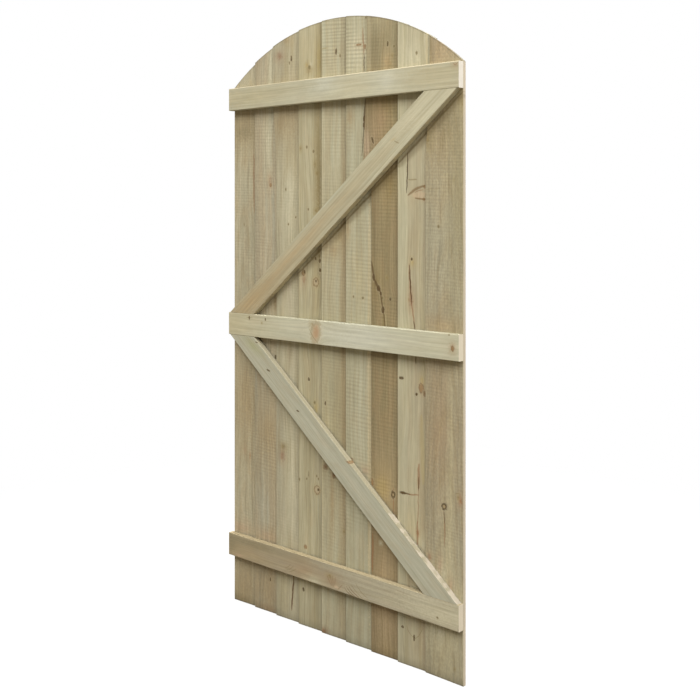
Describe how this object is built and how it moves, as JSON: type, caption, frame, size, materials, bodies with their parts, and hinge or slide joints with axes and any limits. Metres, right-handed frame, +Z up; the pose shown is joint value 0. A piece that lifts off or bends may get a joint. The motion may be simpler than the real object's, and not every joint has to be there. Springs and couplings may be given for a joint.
{
  "type": "arched featheredge gate",
  "caption": "Tall garden gate with an arched top: upright lapped featheredge boards nailed to level ledges, with slanting braces between the ledges.",
  "frame": {"origin": "on the ground under the middle of the gate, halfway through its thickness", "axes": "+Z up, +X to the right when looking at the ledges, -Y out of the ledged back and +Y out of the boarded face"},
  "size_m": [0.9, 0.0384, 1.8],
  "materials": {
    "featheredge_board": "rough-sawn pressure-treated softwood, tan with a green tint",
    "ledge": "planed pressure-treated softwood, pale green-tan, eased edges",
    "brace": "planed pressure-treated softwood, pale green-tan, eased edges",
    "nail": "dull galvanised"
  },
  "bodies": {
    "root": {"board_1": "featheredge_board", "board_2": "featheredge_board", "board_3": "featheredge_board", "board_4": "featheredge_board", "board_5": "featheredge_board", "board_6": "featheredge_board", "board_7": "featheredge_board", "board_8": "featheredge_board", "board_9": "featheredge_board", "top_ledge": "ledge", "middle_ledge": "ledge", "bottom_ledge": "ledge", "upper_brace": "brace", "lower_brace": "brace", "top_ledge_nails": "nail", "middle_ledge_nails": "nail", "bottom_ledge_nails": "nail", "upper_brace_nails": "nail", "lower_brace_nails": "nail"}
  },
  "joints": []
}
